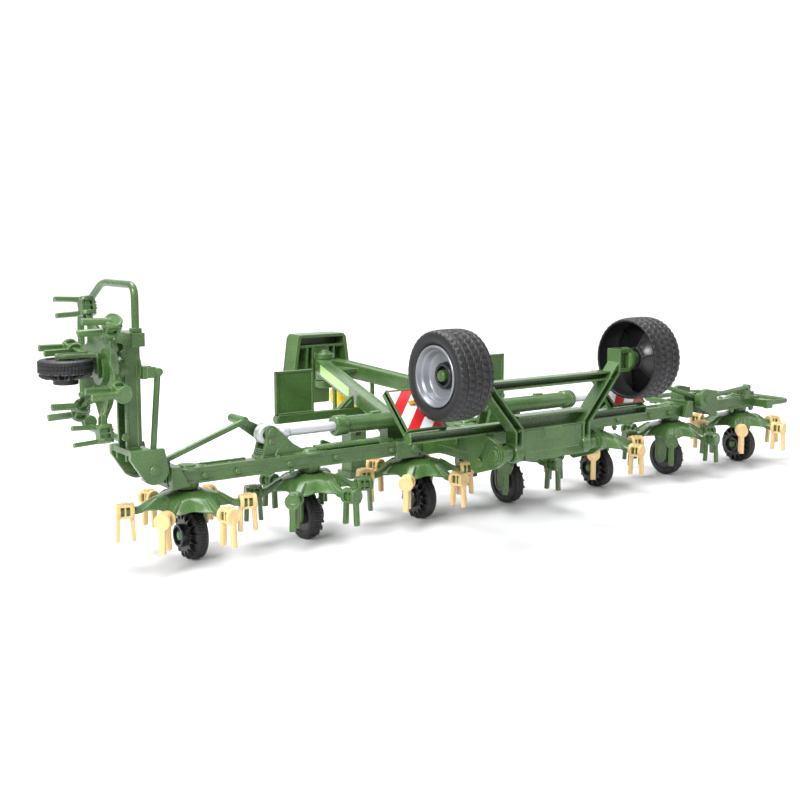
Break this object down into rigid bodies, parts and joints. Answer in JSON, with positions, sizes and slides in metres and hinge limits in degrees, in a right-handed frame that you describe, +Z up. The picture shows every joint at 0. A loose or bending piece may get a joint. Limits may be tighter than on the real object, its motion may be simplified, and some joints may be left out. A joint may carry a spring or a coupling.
{
  "type": "toy rotary hay tedder",
  "caption": "Toy trailed hay tedder: folding wings and outer sections with tined rotors on small wheels, drawbar with swivelling headstock, and a swing-down transport chassis.",
  "frame": {"origin": "bottom centre of the bounding box, on the floor, with the left outer section folded up", "axes": "+X to the machine's right along the rotor line, +Y forwards to the hitch, +Z up"},
  "size_m": [0.5318, 0.2602, 0.1377],
  "materials": {
    "green_frame": "moulded plastic, satin gloss, mid green",
    "rotor_green": "moulded plastic, satin gloss, mid green",
    "tine_beige": "soft moulded plastic, beige",
    "rotor_wheel": "moulded black plastic, satin",
    "transport_tyre": "soft black plastic with a moulded tread",
    "rim_silver": "silver-grey plastic with metal flake",
    "rod_silver": "light silver plastic, smooth",
    "shaft_black": "moulded black plastic",
    "guard_yellow": "moulded yellow plastic",
    "warning_board": "printed film, red and white diagonal stripes"
  },
  "bodies": {
    "centre": {"centre_frame": "green_frame", "drawbar": "green_frame", "drive_shaft": "shaft_black", "drive_shaft_guard": "guard_yellow", "rear_board_bar": "green_frame", "pivot_plate_left": "green_frame", "front_board_left": "green_frame", "rear_board_left": "warning_board", "wheel_leg_left_1": "green_frame", "pivot_plate_right": "green_frame", "front_board_right": "green_frame", "rear_board_right": "warning_board", "wheel_leg_right_1": "green_frame"},
    "headstock": {"headstock": "green_frame"},
    "parking_stand": {"parking_stand": "green_frame"},
    "transport_chassis": {"transport_chassis": "green_frame"},
    "transport_wheel_left": {"transport_tyre_left": "transport_tyre", "transport_rim_left": "rim_silver"},
    "wing_left": {"wing_beam_left": "green_frame", "push_rod_left": "green_frame", "wheel_leg_left_2": "green_frame", "wheel_leg_left_3": "green_frame"},
    "outer_left": {"outer_beam_left": "green_frame", "folding_rod_left": "green_frame", "guard_rail_left": "green_frame", "wheel_leg_left_4": "green_frame"},
    "lift_tube_left": {"lift_tube_left": "green_frame"},
    "lift_rod_left": {"lift_rod_left": "rod_silver"},
    "rotor_left_1": {"rotor_left_1": "tine_beige"},
    "wheel_left_1": {"wheel_left_1": "rotor_wheel"},
    "rotor_left_2": {"rotor_left_2": "rotor_green"},
    "wheel_left_2": {"wheel_left_2": "rotor_wheel"},
    "rotor_left_3": {"rotor_left_3": "tine_beige"},
    "wheel_left_3": {"wheel_left_3": "rotor_wheel"},
    "rotor_left_4": {"rotor_left_4": "rotor_green"},
    "wheel_left_4": {"wheel_left_4": "rotor_wheel"},
    "transport_wheel_right": {"transport_tyre_right": "transport_tyre", "transport_rim_right": "rim_silver"},
    "wing_right": {"wing_beam_right": "green_frame", "push_rod_right": "green_frame", "wheel_leg_right_2": "green_frame", "wheel_leg_right_3": "green_frame"},
    "outer_right": {"outer_beam_right": "green_frame", "folding_rod_right": "green_frame", "guard_rail_right": "green_frame", "wheel_leg_right_4": "green_frame"},
    "lift_tube_right": {"lift_tube_right": "green_frame"},
    "lift_rod_right": {"lift_rod_right": "rod_silver"},
    "rotor_right_1": {"rotor_right_1": "rotor_green"},
    "wheel_right_1": {"wheel_right_1": "rotor_wheel"},
    "rotor_right_2": {"rotor_right_2": "tine_beige"},
    "wheel_right_2": {"wheel_right_2": "rotor_wheel"},
    "rotor_right_3": {"rotor_right_3": "rotor_green"},
    "wheel_right_3": {"wheel_right_3": "rotor_wheel"},
    "rotor_right_4": {"rotor_right_4": "tine_beige"},
    "wheel_right_4": {"wheel_right_4": "rotor_wheel"}
  },
  "joints": [
    {"name": "headstock_swivel", "type": "hinge", "parent": "centre", "child": "headstock", "pos_m": [-0.01988, 0.1126, 0.068], "axis": [0, 0, 1], "range_deg": [-30, 30]},
    {"name": "parking_stand_fold", "type": "hinge", "parent": "centre", "child": "parking_stand", "pos_m": [-0.01988, 0.0776, 0.033], "axis": [1, 0, 0], "range_deg": [0, 90]},
    {"name": "transport_chassis_swing", "type": "hinge", "parent": "centre", "child": "transport_chassis", "pos_m": [-0.01988, -0.1074, 0.047], "axis": [1, 0, 0], "range_deg": [0, 175]},
    {"name": "transport_wheel_left_spin", "type": "hinge", "parent": "transport_chassis", "child": "transport_wheel_left", "pos_m": [-0.08657, -0.1074, 0.0903], "axis": [1, 0, 0], "continuous": true},
    {"name": "wing_left_fold", "type": "hinge", "parent": "centre", "child": "wing_left", "pos_m": [-0.06087, -0.0374, 0.041], "axis": [0, 1, 0], "range_deg": [0, 70]},
    {"name": "outer_left_fold", "type": "hinge", "parent": "wing_left", "child": "outer_left", "pos_m": [-0.21688, -0.0374, 0.049], "axis": [0, 1, 0], "range_deg": [-90, 0]},
    {"name": "lift_tube_left_tilt", "type": "hinge", "parent": "centre", "child": "lift_tube_left", "pos_m": [-0.04188, -0.0334, 0.057], "axis": [0, 1, 0], "range_deg": [0, 66]},
    {"name": "lift_rod_left_slide", "type": "slide", "parent": "lift_tube_left", "child": "lift_rod_left", "axis": [-1, 0, 0], "range_m": [-0.0275, 0]},
    {"name": "rotor_left_1_spin", "type": "hinge", "parent": "centre", "child": "rotor_left_1", "pos_m": [-0.05488, -0.0374, 0.0273], "axis": [0, 0, 1], "continuous": true},
    {"name": "wheel_left_1_spin", "type": "hinge", "parent": "centre", "child": "wheel_left_1", "pos_m": [-0.05488, -0.0374, 0.0123], "axis": [1, 0, 0], "continuous": true},
    {"name": "rotor_left_2_spin", "type": "hinge", "parent": "wing_left", "child": "rotor_left_2", "pos_m": [-0.12487, -0.0374, 0.0273], "axis": [0, 0, 1], "continuous": true},
    {"name": "wheel_left_2_spin", "type": "hinge", "parent": "wing_left", "child": "wheel_left_2", "pos_m": [-0.12487, -0.0374, 0.0123], "axis": [1, 0, 0], "continuous": true},
    {"name": "rotor_left_3_spin", "type": "hinge", "parent": "wing_left", "child": "rotor_left_3", "pos_m": [-0.19487, -0.0374, 0.0273], "axis": [0, 0, 1], "continuous": true},
    {"name": "wheel_left_3_spin", "type": "hinge", "parent": "wing_left", "child": "wheel_left_3", "pos_m": [-0.19487, -0.0374, 0.0123], "axis": [1, 0, 0], "continuous": true},
    {"name": "rotor_left_4_spin", "type": "hinge", "parent": "outer_left", "child": "rotor_left_4", "pos_m": [-0.23858, -0.0374, 0.097], "axis": [1, 0, 0], "continuous": true},
    {"name": "wheel_left_4_spin", "type": "hinge", "parent": "outer_left", "child": "wheel_left_4", "pos_m": [-0.25357, -0.0374, 0.097], "axis": [0, 0, -1], "continuous": true},
    {"name": "transport_wheel_right_spin", "type": "hinge", "parent": "transport_chassis", "child": "transport_wheel_right", "pos_m": [0.04682, -0.1074, 0.0903], "axis": [1, 0, 0], "continuous": true},
    {"name": "wing_right_fold", "type": "hinge", "parent": "centre", "child": "wing_right", "pos_m": [0.02113, -0.0374, 0.041], "axis": [0, -1, 0], "range_deg": [0, 70]},
    {"name": "outer_right_fold", "type": "hinge", "parent": "wing_right", "child": "outer_right", "pos_m": [0.17713, -0.0374, 0.049], "axis": [0, -1, 0], "range_deg": [0, 90]},
    {"name": "lift_tube_right_tilt", "type": "hinge", "parent": "centre", "child": "lift_tube_right", "pos_m": [0.00213, -0.0334, 0.057], "axis": [0, -1, 0], "range_deg": [0, 66]},
    {"name": "lift_rod_right_slide", "type": "slide", "parent": "lift_tube_right", "child": "lift_rod_right", "axis": [1, 0, 0], "range_m": [-0.0275, 0]},
    {"name": "rotor_right_1_spin", "type": "hinge", "parent": "centre", "child": "rotor_right_1", "pos_m": [0.01512, -0.0374, 0.0273], "axis": [0, 0, 1], "continuous": true},
    {"name": "wheel_right_1_spin", "type": "hinge", "parent": "centre", "child": "wheel_right_1", "pos_m": [0.01512, -0.0374, 0.0123], "axis": [1, 0, 0], "continuous": true},
    {"name": "rotor_right_2_spin", "type": "hinge", "parent": "wing_right", "child": "rotor_right_2", "pos_m": [0.08513, -0.0374, 0.0273], "axis": [0, 0, 1], "continuous": true},
    {"name": "wheel_right_2_spin", "type": "hinge", "parent": "wing_right", "child": "wheel_right_2", "pos_m": [0.08513, -0.0374, 0.0123], "axis": [1, 0, 0], "continuous": true},
    {"name": "rotor_right_3_spin", "type": "hinge", "parent": "wing_right", "child": "rotor_right_3", "pos_m": [0.15513, -0.0374, 0.0273], "axis": [0, 0, 1], "continuous": true},
    {"name": "wheel_right_3_spin", "type": "hinge", "parent": "wing_right", "child": "wheel_right_3", "pos_m": [0.15513, -0.0374, 0.0123], "axis": [1, 0, 0], "continuous": true},
    {"name": "rotor_right_4_spin", "type": "hinge", "parent": "outer_right", "child": "rotor_right_4", "pos_m": [0.22512, -0.0374, 0.0273], "axis": [0, 0, 1], "continuous": true},
    {"name": "wheel_right_4_spin", "type": "hinge", "parent": "outer_right", "child": "wheel_right_4", "pos_m": [0.22512, -0.0374, 0.0123], "axis": [1, 0, 0], "continuous": true}
  ],
  "couplings": [
    {"joint": "lift_tube_left_tilt", "follows": "wing_left_fold", "ratio": 0.925},
    {"joint": "lift_rod_left_slide", "follows": "wing_left_fold", "m_per_rad": -0.0223},
    {"joint": "wheel_left_1_spin", "follows": "rotor_left_1_spin", "ratio": 0.5},
    {"joint": "wheel_left_2_spin", "follows": "rotor_left_2_spin", "ratio": -0.5},
    {"joint": "wheel_left_3_spin", "follows": "rotor_left_3_spin", "ratio": 0.5},
    {"joint": "wheel_left_4_spin", "follows": "rotor_left_4_spin", "ratio": -0.5},
    {"joint": "lift_tube_right_tilt", "follows": "wing_right_fold", "ratio": 0.925},
    {"joint": "lift_rod_right_slide", "follows": "wing_right_fold", "m_per_rad": -0.0223},
    {"joint": "wheel_right_1_spin", "follows": "rotor_right_1_spin", "ratio": -0.5},
    {"joint": "wheel_right_2_spin", "follows": "rotor_right_2_spin", "ratio": 0.5},
    {"joint": "wheel_right_3_spin", "follows": "rotor_right_3_spin", "ratio": -0.5},
    {"joint": "wheel_right_4_spin", "follows": "rotor_right_4_spin", "ratio": 0.5}
  ]
}
